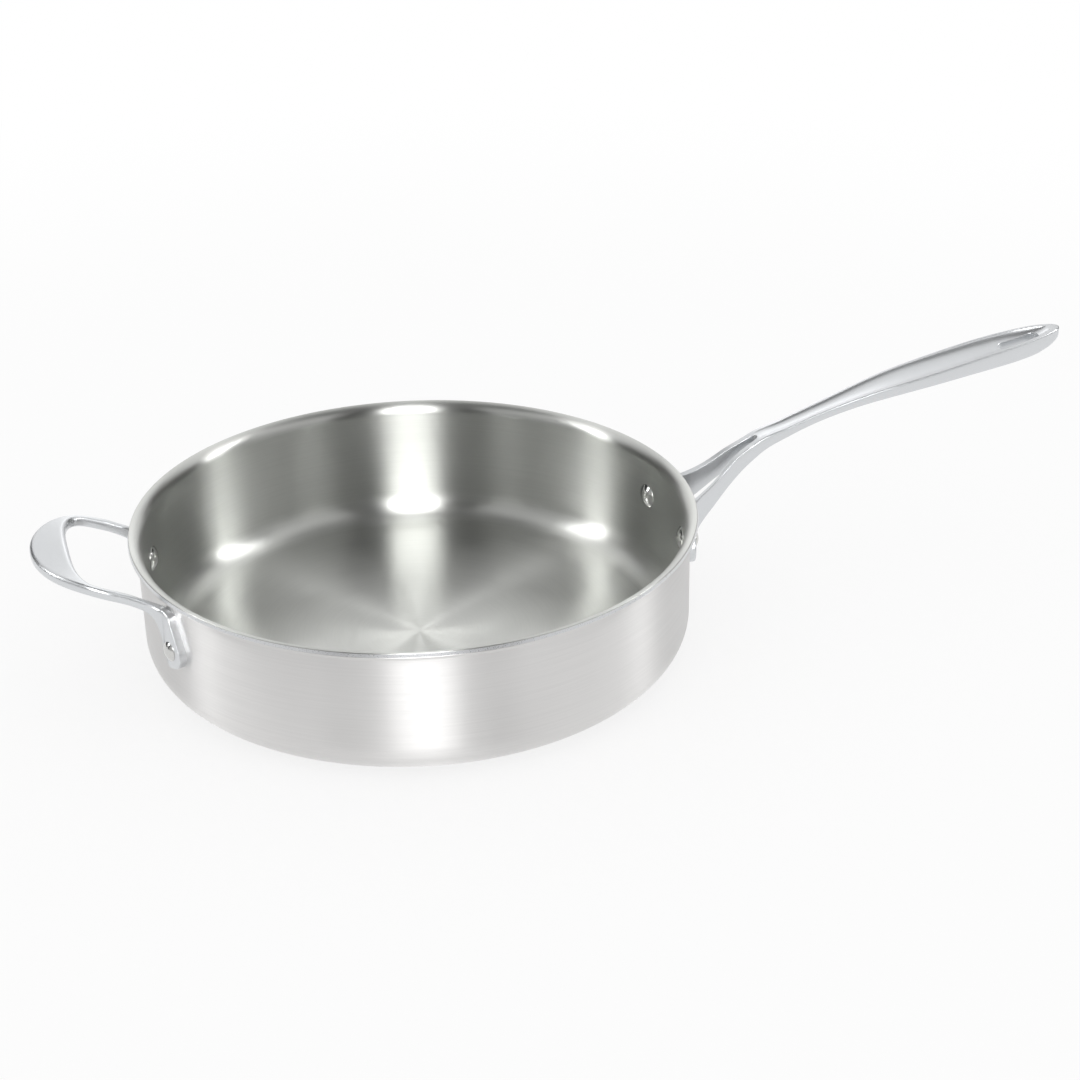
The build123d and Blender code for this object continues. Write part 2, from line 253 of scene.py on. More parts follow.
def make_piece(name, points, quads, material, slot, *nodes, crease):
    """Puts a surface into a mesh object: doubles merged, normals outward, smooth but for the
    creases, which are sharper than an angle. The piece then stands for its nodes."""
    mesh = bpy.data.meshes.new(name)
    mesh.from_pydata(points.reshape(-1, 3), [], quads.tolist())
    shape = bmesh.new()
    shape.from_mesh(mesh)
    bmesh.ops.remove_doubles(shape, verts=shape.verts, dist=MERGE)
    bmesh.ops.dissolve_degenerate(shape, edges=shape.edges, dist=MERGE)
    bmesh.ops.recalc_face_normals(shape, faces=shape.faces)
    open_edges = sum(not edge.is_manifold for edge in shape.edges)
    shape.to_mesh(mesh)
    shape.free()
    if open_edges:
        raise RuntimeError(f"{name} has {open_edges} open edges")
    mesh.shade_smooth()
    mesh.set_sharp_from_angle(angle=math.radians(crease))
    mesh.materials.append(material)
    piece = bpy.data.objects.new(name, mesh)
    bpy.context.scene.collection.objects.link(piece)
    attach(piece, "root")
    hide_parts(*nodes)


# Finishes

def add(tree, kind, inputs=None, **settings):
    """Adds a node, with its settings, and each input set to a value or linked to a socket."""
    node = tree.nodes.new(kind)
    for key, value in settings.items():
        setattr(node, key, value)
    for key, value in (inputs or {}).items():
        if isinstance(value, bpy.types.NodeSocket):
            tree.links.new(value, node.inputs[key])
        else:
            node.inputs[key].default_value = value
    return node


def empty_tree(owner):
    """The emptied node tree of a material or a world."""
    owner.use_nodes = True
    owner.node_tree.nodes.clear()
    return owner.node_tree


def new_finish(name):
    """A material with only its shader and output. An older one of the same name goes."""
    material = bpy.data.materials.get(name)
    if material:
        bpy.data.materials.remove(material)
    material = bpy.data.materials.new(name)
    tree = empty_tree(material)
    shader = add(tree, "ShaderNodeBsdfPrincipled")
    add(tree, "ShaderNodeOutputMaterial", {"Surface": shader.outputs[0]})
    return material, tree, shader


def lay_metal(tree, shader, metal, shade, gloss, height, strength, depth):
    """Gives a shader bare metal: its colour times its shade, its gloss, and a bump from a height
    pattern that is depth deep at a strength of 1."""
    tint = add(tree, "ShaderNodeMix", {"Factor": 1.0, "A": metal, "B": shade}, data_type="RGBA",
               blend_type="MULTIPLY").outputs["Result"]
    bump = add(tree, "ShaderNodeBump", {"Height": height, "Strength": strength,
                                        "Distance": depth}).outputs[0]
    for socket, value in (("Base Color", tint), ("Roughness", gloss), ("Normal", bump)):
        tree.links.new(value, shader.inputs[socket])
    shader.inputs["Metallic"].default_value = 1.0


# How often a scratch changes along its own length, in steps of the noise to the radian.
SCRATCH_CHANGES = 2.2
SCRATCH_DEPTH = 0.02 * MM
# Handling leaves slightly duller patches a few centimetres across.
HAZE_SIZE = 71.4 * MM
# Tumbling media leave marks of about 0.2 mm, drawn at 0.6 mm so that they show.
TUMBLE_MARK_SIZE = 0.6 * MM
CAST_SKIN_DEPTH = 0.25 * MM
# Share of the tumbling marks in a casting's bump. The rest is its waves.
TUMBLE_SHARE = 0.12


def brushed_sheet(name, metal, roughness, anisotropy, line_spacing, line_strength):
    """Stainless sheet brushed on a lathe, so its scratches run round the axis: a lamp is drawn out
    across them, up the wall and along the radius on the base. The scratches vary with the distance
    along the profile, height minus radius, and hardly round the pan. Real ones are 0.1 mm apart.
    line_spacing, in millimetres, draws them coarser so that they show at all."""
    material, tree, shader = new_finish(name)
    place = add(tree, "ShaderNodeTexCoord").outputs["Object"]
    height = add(tree, "ShaderNodeSeparateXYZ", {0: place}).outputs["Z"]
    flat = add(tree, "ShaderNodeVectorMath", {0: place, 1: (1, 1, 0)},
               operation="MULTIPLY").outputs[0]
    radius = add(tree, "ShaderNodeVectorMath", {0: flat}, operation="LENGTH").outputs["Value"]
    around = add(tree, "ShaderNodeVectorMath", {0: flat}, operation="NORMALIZE").outputs[0]
    along = add(tree, "ShaderNodeMath", {0: height, 1: radius}, operation="SUBTRACT").outputs[0]
    lines = add(tree, "ShaderNodeMath", {0: along, 1: 1 / (line_spacing * MM)},
                operation="MULTIPLY").outputs[0]
    changes = add(tree, "ShaderNodeVectorMath",
                  {0: around, 1: (SCRATCH_CHANGES, SCRATCH_CHANGES, 0)},
                  operation="MULTIPLY").outputs[0]
    upward = add(tree, "ShaderNodeCombineXYZ", {"Z": lines}).outputs[0]
    pattern = add(tree, "ShaderNodeVectorMath", {0: changes, 1: upward},
                  operation="ADD").outputs[0]
    scratches = add(tree, "ShaderNodeTexNoise", {"Vector": pattern, "Scale": 1.0, "Detail": 3.0,
                                                 "Roughness": 0.6}).outputs[0]
    haze = add(tree, "ShaderNodeTexNoise", {"Vector": place, "Scale": 1 / HAZE_SIZE,
                                            "Detail": 2.0, "Roughness": 0.5}).outputs[0]
    dull = add(tree, "ShaderNodeMath", {0: scratches, 1: haze}, operation="ADD").outputs[0]
    gloss = add(tree, "ShaderNodeMapRange",
                {"Value": dull, "From Min": 0.7, "From Max": 1.3,
                 "To Min": roughness * 0.88, "To Max": roughness * 1.12}).outputs[0]
    shade = add(tree, "ShaderNodeMapRange",
                {"Value": scratches, "From Min": 0.3, "From Max": 0.7,
                 "To Min": 0.965, "To Max": 1.02}).outputs[0]
    lay_metal(tree, shader, metal, shade, gloss, scratches, line_strength, SCRATCH_DEPTH)
    lathe = add(tree, "ShaderNodeVectorMath", {0: (0, 0, 1), 1: place},
                operation="CROSS_PRODUCT").outputs[0]
    tree.links.new(lathe, shader.inputs["Tangent"])
    shader.inputs["Anisotropic"].default_value = anisotropy
    # A quarter turn: the tangent runs along the scratches, and light spreads across them.
    shader.inputs["Anisotropic Rotation"].default_value = 0.25
    return material


def cast_finish(name, metal, roughness, wave_size, wave_strength):
    """Stainless casting, tumbled and polished: even satin gloss over a skin that is never quite
    flat, so the edges of a reflection waver a little. Its waves are wave_size millimetres long.
    The rivets and the core's machined edge are drawn in the same way, with their own gloss."""
    material, tree, shader = new_finish(name)
    place = add(tree, "ShaderNodeTexCoord").outputs["Object"]
    waves = add(tree, "ShaderNodeTexNoise", {"Vector": place, "Scale": 1 / (wave_size * MM),
                                             "Detail": 2.0, "Roughness": 0.4}).outputs[0]
    marks = add(tree, "ShaderNodeTexNoise", {"Vector": place, "Scale": 1 / TUMBLE_MARK_SIZE,
                                             "Detail": 2.0, "Roughness": 0.55}).outputs[0]
    gloss = add(tree, "ShaderNodeMapRange",
                {"Value": marks, "From Min": 0.3, "From Max": 0.7,
                 "To Min": roughness * 0.85, "To Max": roughness * 1.15}).outputs[0]
    shade = add(tree, "ShaderNodeMapRange",
                {"Value": marks, "From Min": 0.3, "From Max": 0.7,
                 "To Min": 0.975, "To Max": 1.015}).outputs[0]
    skin = add(tree, "ShaderNodeMix", {"Factor": TUMBLE_SHARE, "A": waves,
                                       "B": marks}).outputs[0]
    lay_metal(tree, shader, metal, shade, gloss, skin, wave_strength, CAST_SKIN_DEPTH)
    return material


# Body

# Points on the profile: from the axis to the corner, round it, up the wall, over the lip.
BASE_STEPS, CORNER_STEPS, WALL_STEPS, LIP_STEPS = 14, 18, 8, 14
# Points on a quarter circle of the lip's rounded edge.
EDGE_STEPS = 5


def body_line(sizes, depth):
    """Profile of the body at a depth below its cooking surface, radius and height from the axis
    out: flat floor, quarter circle, upright wall, arc of the pouring lip, short straight end. The
    end is as long as it takes the outer steel's edge to reach the rim's radius."""
    thickness = sizes.inner_ply + sizes.core_ply + sizes.outer_ply
    sine, cosine = math.sin(sizes.lip_angle), math.cos(sizes.lip_angle)
    wall = sizes.rim_radius - sizes.lip_overhang - thickness
    centre = wall + sizes.lip_bend
    outer_bend = sizes.lip_bend - thickness
    lip_run = (sizes.rim_radius - centre + outer_bend * cosine) / sine
    centre_height = sizes.height - sizes.lip_bend * sine - lip_run * cosine
    corner = sizes.base_corner - thickness + depth
    floor = thickness - depth
    face = wall + depth
    floor_run = np.linspace(0, face - corner, BASE_STEPS)
    base = np.stack([floor_run, np.full_like(floor_run, floor)], axis=1)
    turn = arc((face - corner, floor + corner), corner, -90, 0, CORNER_STEPS)
    wall_run = np.linspace(floor + corner, centre_height, WALL_STEPS)[1:-1]
    upright = np.stack([np.full_like(wall_run, face), wall_run], axis=1)
    lip = arc((centre, centre_height), sizes.lip_bend - depth, 180,
              180 - math.degrees(sizes.lip_angle), LIP_STEPS)
    end = lip[-1] + lip_run * np.array([sine, cosine])
    return np.concatenate([base, turn[1:], upright, lip, end[None]])


def ply_profile(sizes, upper, lower, round_upper, round_lower):
    """Closed profile of one layer: its upper line, its edge at the lip, its lower line back."""
    inside, outside = body_line(sizes, upper), body_line(sizes, lower)
    outward = (inside[-1] - inside[-2]) / np.linalg.norm(inside[-1] - inside[-2])
    down = (outside[-1] - inside[-1]) / np.linalg.norm(outside[-1] - inside[-1])
    rounding = sizes.edge_round
    turn = np.radians(np.linspace(0, 90, EDGE_STEPS))[:, None]
    edges = []
    if round_upper:
        hub = inside[-1] - outward * rounding + down * rounding
        edges.append(hub + rounding * (np.sin(turn) * outward - np.cos(turn) * down))
    else:
        edges.append(inside[-1:])
    if round_lower:
        hub = outside[-1] - outward * rounding - down * rounding
        edges.append(hub + rounding * (np.cos(turn) * outward + np.sin(turn) * down))
    else:
        edges.append(outside[-1:])
    return np.concatenate([inside[:-1], *edges, outside[:-1][::-1]])


class PAN_OT_body(bpy.types.Operator):
    """Builds the three plies of the body: each is its closed profile turned round the axis"""
    bl_idname = "pan.body"
    bl_label = "Body plies"

    def execute(self, context):
        sizes, finish = context.scene.pan_body, context.scene.pan_finish
        # A fine brush leaves the cooking surface with clear, long bands of light.
        cooking = brushed_sheet("fine_brushed_stainless", finish.cooking_steel, roughness=0.32,
                                anisotropy=0.96, line_spacing=1.1, line_strength=0.12)
        # A coarser, satin brush makes the outside paler, and its bands wider and softer.
        outer = brushed_sheet("satin_brushed_stainless", finish.outer_steel, roughness=0.36,
                              anisotropy=0.95, line_spacing=1.1, line_strength=0.2)
        # The lip is cut on a lathe, so the core shows there as an even pale line between the steels.
        core = cast_finish("machined_aluminium", finish.core_aluminium, roughness=0.3,
                           wave_size=3, wave_strength=0.1)
        first = sizes.inner_ply
        second = first + sizes.core_ply
        third = second + sizes.outer_ply
        layers = (
            ("cooking_surface_ply", 0, first, True, False, cooking, "cooking_steel", "inner_ply"),
            ("aluminium_core_ply", first, second, False, False, core, "core_aluminium",
             "core_ply"),
            ("outer_wall_ply", second, third, False, True, outer, "outer_steel", "outer_ply"))
        for name, upper, lower, round_upper, round_lower, material, slot, node in layers:
            profile = ply_profile(sizes, upper, lower, round_upper, round_lower)
            points = revolved(profile, (0, 0, 0), (0, 0, 1), (1, 0, 0), sizes.segments)
            quads = grid_quads(sizes.segments, len(profile), True, False)
            make_piece(name, points, quads, material, slot, node, crease=30)
        return {"FINISHED"}


# Rivets

# Steps round a rivet, and from the top of a head's cap to its edge.
RIVET_STEPS, CAP_STEPS = 56, 12


def head_cap(diameter, rise, base, outward):
    """Cap of a sphere, as radius and distance from the pan's axis. A cap of radius r and rise h is
    cut from a sphere whose radius is (r r + h h) / 2 h."""
    radius = diameter / 2
    ball = (radius ** 2 + rise ** 2) / (2 * rise)
    angles = np.linspace(0, math.asin(radius / ball), CAP_STEPS)
    drop = ball * (1 - np.cos(angles))
    return np.stack([ball * np.sin(angles), base + outward * (rise - drop)], axis=1)


def rivet_profile(sizes, head, tail):
    """Outline of a rivet from its domed head to its closed one, as radius and distance from the
    pan's axis: cap, upright edge, shank, upright edge, cap. The heads' flat sides lie a little
    within what they close on, whose face is round."""
    inner = head_cap(sizes.inner_head, sizes.inner_rise - sizes.head_edge, head, -1)
    outer = head_cap(sizes.outer_head, sizes.outer_rise - sizes.head_edge, tail, 1)
    head_seat, tail_seat = head + 3 * sizes.head_edge, tail - 2 * sizes.head_edge
    shank = sizes.shank / 2
    middle = np.array([(sizes.inner_head / 2, head_seat), (shank, head_seat),
                       (shank, tail_seat), (sizes.outer_head / 2, tail_seat)])
    return np.concatenate([inner, middle, outer[::-1]])


class PAN_OT_rivets(bpy.types.Operator):
    """Builds the four rivets: one outline turned round an axis square to the wall"""
    bl_idname = "pan.rivets"
    bl_label = "Rivets"

    def execute(self, context):
        scene = context.scene
        sizes, body = scene.pan_rivets, scene.pan_body
        # Pressed and polished heads mirror the room more clearly than the castings beside them.
        material = cast_finish("polished_stainless_rivet", scene.pan_finish.rivet_steel,
                               roughness=0.18, wave_size=4, wave_strength=0.12)
        wall = body.rim_radius - body.lip_overhang
        inside = wall - (body.inner_ply + body.core_ply + body.outer_ply)
        foot = wall + scene.pan_handle.foot_thickness
        # The domed head's rim meets the round wall this far within its radius.
        seat = inside - math.sqrt(inside ** 2 - (sizes.inner_head / 2) ** 2)
        profile = rivet_profile(sizes, inside - seat - sizes.head_edge, foot + sizes.head_edge)
        quads = grid_quads(RIVET_STEPS, len(profile), True, False)
        handle_angle = math.asin(sizes.handle_across / wall)
        helper_angle = math.asin(sizes.helper_across / wall)
        places = (("long_handle_rivet_left", handle_angle, sizes.handle_height),
                  ("long_handle_rivet_right", -handle_angle, sizes.handle_height),
                  ("helper_rivet_left", math.pi - helper_angle, sizes.helper_height),
                  ("helper_rivet_right", math.pi + helper_angle, sizes.helper_height))
        for node, angle, height in places:
            outward = (math.cos(angle), math.sin(angle), 0)
            points = revolved(profile, (0, 0, height), outward, (0, 0, 1), RIVET_STEPS)
            make_piece("domed_" + node, points, quads, material, "rivet_steel", node, crease=40)
        return {"FINISHED"}


# Castings

# Circles that a foot's outline is drawn round, and how near one of them has to pass.
FOOT_CIRCLES, FOOT_TOUCH = 400, 1e-4 * MM
# How far a foot's back lies within the wall's face, so that no gap shows between them.
FOOT_SUNK = 0.1 * MM
# Where a leg's spline ends on its foot, from the rivet in shares of the foot's radius, and the
# steps from the second place to the foot's round end.
FOOT_ENTRY, FOOT_STEPS = (-0.35, 0.05), 25
# Steps down a leg of either handle, and round half the helper's loop.
HANDLE_LEG_STEPS, HELPER_LEG_STEPS, LOOP_STEPS = 44, 40, 64
# Share of the way across a flat top where its points lie closer together.
LEG_SPLIT, LOOP_SPLIT = 0.85, 0.75
# How much less than a right angle the loop's last angle is, so that its cosine stays above zero.
BELOW_RIGHT_ANGLE = 1e-9
# Points of a section: over its groove, over its rim, round each edge.
GROOVE_STEPS, RIM_STEPS, ROUND_STEPS = 12, 4, 6
# An edge's rounding is at most this share of the section's width and depth.
ROUND_LIMIT = 0.46
# A section narrower than this has no direction of its own.
NO_WIDTH = 1e-9
# A face whose corners are all this near the middle plane, in metres, lies in it.
IN_PLANE = 1e-7
# Edges sharper than this many degrees are creases of a casting.
CASTING_CREASE = 42


def foot_outline(sizes, across):
    """Upper and lower height of a foot at a distance across from its rivet: the outline of all
    the circles that run from the round end's to the narrow end's, their centres and radii on
    straight lines."""
    share = np.linspace(0, 1, FOOT_CIRCLES)[None, :]
    radius = sizes.foot_radius + share * (sizes.neck_radius - sizes.foot_radius)
    off = across[:, None] + share * sizes.neck_shift
    centre = sizes.foot_centre + share * sizes.neck_rise
    half = np.sqrt(np.clip(radius ** 2 - off ** 2, 0, None))
    touched = radius ** 2 >= off ** 2 - FOOT_TOUCH ** 2
    upper = np.where(touched, centre + half, -1).max(axis=1)
    lower = np.where(touched, centre - half, 1).min(axis=1)
    return upper, lower


def wall_points(radius, angles):
    """Points on a circle round the pan's axis."""
    return np.stack([radius * np.cos(angles), radius * np.sin(angles)], axis=1)


def no_dish(across):
    """The drop of a top that is flat across."""
    return np.zeros_like(across)


def casting_rings(inner, outer, top, bottom, rounds, split, dish):
    """Closed sections along a casting. Each lies in the upright plane through an inner and an
    outer plan point and runs over the top, down the outer face, back under and up the inner face,
    with a quarter circle at each corner. rounds are the four radii, inner top, outer top, outer
    under, inner under. split is where the groove's edge lies, as a share of the way across, and
    dish gives the top's drop there."""
    width = np.linalg.norm(outer - inner, axis=1)
    limit = ROUND_LIMIT * np.minimum(width, np.maximum(top - bottom, 0))
    inner_round, outer_round, outer_under, inner_under = (np.minimum(r, limit) for r in rounds)
    first = inner_round[:, None]
    edge = np.maximum(split * width, inner_round)[:, None]
    last = np.maximum((width - outer_round)[:, None], edge)
    groove = first + (edge - first) * np.sin(np.linspace(0, 1, GROOVE_STEPS) * math.pi / 2)
    rim = edge + (last - edge) * np.linspace(0, 1, RIM_STEPS)[1:]
    across = np.concatenate([groove, rim], axis=1)
    over = top[:, None] - dish(across)
    turn = np.radians(np.linspace(0, 90, ROUND_STEPS))

    def quarter(side, level, radius, out, up, level_first):
        """Quarter circle where a side, on the right or left by out, meets a level, above or below
        by up: its hub lies a radius in from both, and it starts at the level or at the side."""
        shares = (np.sin(turn), np.cos(turn)) if level_first else (np.cos(turn), np.sin(turn))
        radius = radius[:, None]
        return np.stack([side[:, None] + out * radius * (shares[0] - 1),
                         level[:, None] + up * radius * (shares[1] - 1)])
    inside = np.zeros_like(width)
    along, height = np.concatenate([
        np.stack([across, over]),
        quarter(width, top, outer_round, 1, 1, True)[:, :, 1:],
        quarter(width, bottom, outer_under, 1, -1, False),
        quarter(inside, bottom, inner_under, -1, -1, True),
        quarter(inside, over[:, 0], inner_round, -1, 1, False)[:, :, :-1]], axis=2)
    way = (outer - inner) / np.maximum(width, NO_WIDTH)[:, None]
    plan = inner[:, None, :] + along[..., None] * way[:, None, :]
    return np.concatenate([plan, height[..., None]], axis=2)


def close_ring(ring):
    """A ring drawn together to its middle, which closes the end of a casting."""
    return np.broadcast_to(ring.mean(axis=1, keepdims=True), ring.shape)


def mirrored(rings):
    """Points and quads of half a casting and of its mirror image across the middle plane, without
    the faces that lie in that plane, where the two halves meet."""
    points = rings.reshape(-1, 3)
    quads = grid_quads(*rings.shape[:2], False, True)
    in_plane = np.abs(points[quads][:, :, 1]).max(axis=1) < IN_PLANE
    quads = quads[~in_plane]
    other = points * np.array([1, -1, 1])
    return np.concatenate([points, other]), np.concatenate([quads, quads[:, ::-1] + len(points)])


# Shares along the long handle: of the reach, then of the rise, the grip's width, the grip's depth
# and the under rounding.
GRIP_SHARES = np.array([
    (0.187, 0.375, 0.571, 0.913, 0.30), (0.224, 0.433, 0.545, 0.760, 0.50),
    (0.264, 0.469, 0.545, 0.620, 0.62), (0.313, 0.520, 0.545, 0.540, 0.62),
    (0.388, 0.596, 0.590, 0.510, 0.62), (0.469, 0.672, 0.720, 0.570, 0.75),
    (0.555, 0.742, 0.890, 0.680, 0.95), (0.651, 0.806, 0.985, 0.780, 1.00),
    (0.746, 0.868, 1.000, 0.880, 1.00), (0.837, 0.921, 0.955, 0.970, 1.00),
    (0.898, 0.953, 0.840, 1.000, 1.00), (0.946, 0.978, 0.660, 0.930, 0.90),
    (0.979, 0.991, 0.430, 0.740, 0.70), (0.995, 0.995, 0.220, 0.470, 0.40),
    (1.000, 0.991, 0.000, 0.240, 0.20),
])
# Share of the reach, share of the groove's depth, share of the open width between the two rims.
GROOVE_SHARES = np.array([
    (0.205, 0.00, 0.60), (0.237, 0.16, 0.75), (0.313, 0.36, 0.94), (0.469, 0.50, 0.98),
    (0.651, 0.74, 1.00), (0.787, 0.95, 1.00), (0.888, 1.00, 0.98), (0.935, 0.80, 0.90),
    (0.960, 0.30, 0.62), (0.972, 0.00, 0.50),
])
# One leg from the fork to the wall, in millimetres: inner edge x and y, outer edge x and y, top,
# bottom.
LEG_LINES = np.array([
    (194.4, 2.60, 194.4, 7.02, 89.8, 80.9), (188.0, 3.40, 188.0, 7.60, 86.4, 76.2),
    (181.2, 4.80, 180.8, 8.95, 82.1, 70.3), (174.4, 7.10, 173.6, 11.2, 76.4, 64.1),
    (168.0, 9.45, 166.8, 13.5, 71.6, 57.8), (161.6, 11.75, 160.2, 15.8, 68.0, 51.8),
    (155.6, 14.1, 155.5, 18.1, 65.4, 46.5), (150.6, 16.3, 152.9, 20.6, 63.8, 42.2),
    (147.9, 19.2, 151.2, 22.7, 63.1, 39.2),
])
# One leg of the helper handle from its loop to the wall, in the same columns, as if it stood on the
# long handle's side.
HELPER_LEG_LINES = np.array([
    (158.0, 41.40, 158.0, 46.42, 74.4, 68.7), (152.2, 41.75, 152.4, 46.80, 71.3, 65.3),
    (147.6, 42.20, 148.6, 47.40, 69.1, 61.4), (143.8, 43.20, 146.2, 48.35, 67.3, 55.0),
    (141.1, 44.90, 144.8, 49.30, 66.3, 47.5),
])

# Points that the long handle's outline is read from.
OUTLINE_POINTS = 4000
# Its sections: from the tip to the slot, along the slot's straight part, round half of a round
# end, and from the slot to the fork.
TIP_STEPS, SLOT_STEPS, ROUND_END_STEPS, GRIP_STEPS = 22, 9, 11, 52
# The tip's sections reach to this row of GRIP_SHARES from the tip. They start at a share of their
# steps and bunch towards the tip by a power.
TIP_ROW, TIP_START, TIP_BUNCHING = 4, 0.02, 1.3
# Least way from the tip's last section to the slot, least half width, least half gap.
SLOT_CLEAR, LEAST_HALF, LEAST_GAP = 0.4 * MM, 0.3 * MM, 0.02 * MM
# A groove of depth d is d (1 - s^p)^q deep at the share s of the way from the middle to its edge.
DISH_INNER_POWER, DISH_OUTER_POWER = 2.2, 0.62
# The groove takes at least this share of what the gap leaves of the half width.
LEAST_GROOVE = 0.3


def grip_rings(sizes, wall):
    """Sections of the long handle from its tip to the fork. Width and height follow a spline
    along the outline's own length, and the gap is the half width of the slot or of the fork's
    round end."""
    scale = np.array([sizes.reach, sizes.rise, sizes.grip_width / 2, sizes.grip_depth,
                      sizes.under_round])
    knots = (GRIP_SHARES * scale + np.array([wall, sizes.root_height, 0, 0, 0]))[::-1]
    lengths = run_lengths(knots[:, [0, 2]])
    fine = np.linspace(0, lengths[-1], OUTLINE_POINTS)
    grip = smooth_curve(lengths, knots, fine)

    slot_half = sizes.slot_width / 2
    slot_far = wall + sizes.reach - sizes.slot_inset - slot_half
    slot_near = slot_far - sizes.slot_length + 2 * slot_half
    fork = wall + sizes.crotch - sizes.crotch_radius
    fork_end = fork + sizes.crotch_radius
    quarter = np.linspace(0, 1, ROUND_END_STEPS) * math.pi / 2
    tip_share = np.linspace(TIP_START, 1, TIP_STEPS) ** TIP_BUNCHING
    tip = np.interp(tip_share * lengths[TIP_ROW], fine, grip[:, 0])
    places = np.concatenate([
        tip[tip > slot_far + slot_half + SLOT_CLEAR],
        slot_far + slot_half * np.cos(quarter),
        np.linspace(slot_far, slot_near, SLOT_STEPS)[1:],
        slot_near - slot_half * np.sin(quarter[1:]),
        np.linspace(slot_near - slot_half, fork_end, GRIP_STEPS)[1:-1],
        fork + sizes.crotch_radius * np.cos(quarter)])
    _, top, half, depth, under = (np.interp(-places, -grip[:, 0], row) for row in grip.T)
    half = np.maximum(half, LEAST_HALF)

    past_slot = np.clip(np.maximum(places - slot_far, slot_near - places), 0, None)
    in_slot = (places <= slot_far + slot_half) & (places >= slot_near - slot_half)
    slot_gap = np.sqrt(np.clip(slot_half ** 2 - past_slot ** 2, 0, None)) * in_slot
    fork_gap = np.sqrt(np.clip(sizes.crotch_radius ** 2 - (places - fork) ** 2, 0, None))
    gap = np.maximum(slot_gap, fork_gap * (places < fork_end))
    gap[gap < LEAST_GAP] = 0

    groove = GROOVE_SHARES * np.array([sizes.reach, sizes.groove_depth, 1])
    groove_places, groove_share = groove[:, 0] + wall, groove[:, 2]
    drop = np.clip(smooth_curve(groove_places, groove[:, 1], places), 0, None)
    drop = np.where((places < groove_places[0]) | (places > groove_places[-1]), 0, drop)
    share = np.interp(places, groove_places, groove_share)
    open_half = np.maximum(share * (half - sizes.groove_rim), gap + LEAST_GROOVE * (half - gap))

    def dish(across):
        """The groove's drop at distances across from the gap's edge."""
        sideways = np.clip((gap[:, None] + across) / open_half[:, None], 0, 1)
        shape = np.clip(1 - sideways ** DISH_INNER_POWER, 0, None) ** DISH_OUTER_POWER
        return drop[:, None] * shape
    slot_round = np.minimum(sizes.slot_round, gap)
    rounds = (slot_round, np.full_like(half, sizes.top_round), under, slot_round)
    split = (open_half - gap) / (half - gap)
    return casting_rings(np.stack([places, gap], axis=1), np.stack([places, half], axis=1),
                         top, top - depth, rounds, split, dish)


def loop_rings(sizes, wall):
    """Sections round half the helper's loop from the middle plane, and its end as a leg's line.
    Both edges are superellipses about the loop's centre: at an angle a the radius is
    ((cos a / reach)^p + (sin a / half width)^p)^(-1/p). The upper face falls towards the wall by
    a power of the distance from the loop's far end."""
    centre = wall + sizes.loop_start
    along = sizes.reach - sizes.loop_start
    angles = np.radians(np.linspace(0, 90, LOOP_STEPS))
    angles[-1] -= BELOW_RIGHT_ANGLE

    def edge_points(reach, half, power):
        """One edge, from its reach along the middle plane, its half width and its power."""
        radius = ((np.cos(angles) / reach) ** power
                  + (np.sin(angles) / half) ** power) ** (-1 / power)
        return np.stack([centre + radius * np.cos(angles), radius * np.sin(angles)], axis=1)
    outer = edge_points(along, sizes.half_width, 2)
    inner = edge_points(along - sizes.pad_length, sizes.half_width - sizes.leg_width,
                        sizes.window_power)
    outward = (inner[:, 0] + outer[:, 0]) / 2
    share = np.clip(wall + sizes.reach - outward, 0, None) / sizes.reach
    top = sizes.root_height + sizes.rise * (1 - share ** sizes.rise_power)
    rounds = [np.full_like(top, radius) for radius in
              (sizes.inner_round, sizes.outer_round, sizes.under_round, sizes.under_round)]
    rings = casting_rings(inner, outer, top, top - sizes.depth, rounds,
                          np.full_like(top, LOOP_SPLIT), no_dish)
    # The first section lies in the middle plane.
    rings[0, :, 1] = 0
    return rings, np.array([*inner[-1], *outer[-1], top[-1], top[-1] - sizes.depth])


def leg_rings(lines, sizes, rivet_angle, wall, edges, count):
    """Sections of one leg and its foot: a spline through the leg's lines that runs on along the
    wall, where the foot's outline gives top and bottom, to the foot's round end. edges holds each
    edge's rounding at the leg's start and on the foot, and it changes by the cube of the way."""
    def foot_rows(across):
        """Lines across the foot at distances across from the rivet."""
        angles = rivet_angle + across / wall
        upper, lower = foot_outline(sizes, across)
        return np.concatenate([wall_points(wall - FOOT_SUNK, angles),
                               wall_points(wall + sizes.foot_thickness, angles),
                               upper[:, None], lower[:, None]], axis=1)
    entry = foot_rows(np.array(FOOT_ENTRY) * sizes.foot_radius)
    knots = np.concatenate([lines, entry])
    lengths = run_lengths((knots[:, 0:2] + knots[:, 2:4]) / 2)
    leg = smooth_curve(lengths, knots, np.linspace(0, lengths[-1], count))
    turn = np.linspace(math.asin(FOOT_ENTRY[-1]), math.pi / 2, FOOT_STEPS + 1)[1:]
    rows = np.concatenate([leg, foot_rows(sizes.foot_radius * np.sin(turn))])
    way = np.clip(np.linspace(0, count + FOOT_STEPS, len(rows)) / count, 0, 1)
    rounds = [np.interp(way ** 3, [0, 1], pair) for pair in edges]
    return casting_rings(rows[:, 0:2], rows[:, 2:4], rows[:, 4], rows[:, 5], rounds,
                         np.full(len(rows), LEG_SPLIT), no_dish)


def casting_material(metal):
    """The finish of both castings, made when the first of them asks for it."""
    name = "polished_cast_stainless"
    return bpy.data.materials.get(name) or cast_finish(name, metal, roughness=0.34, wave_size=9,
                                                       wave_strength=0.12)


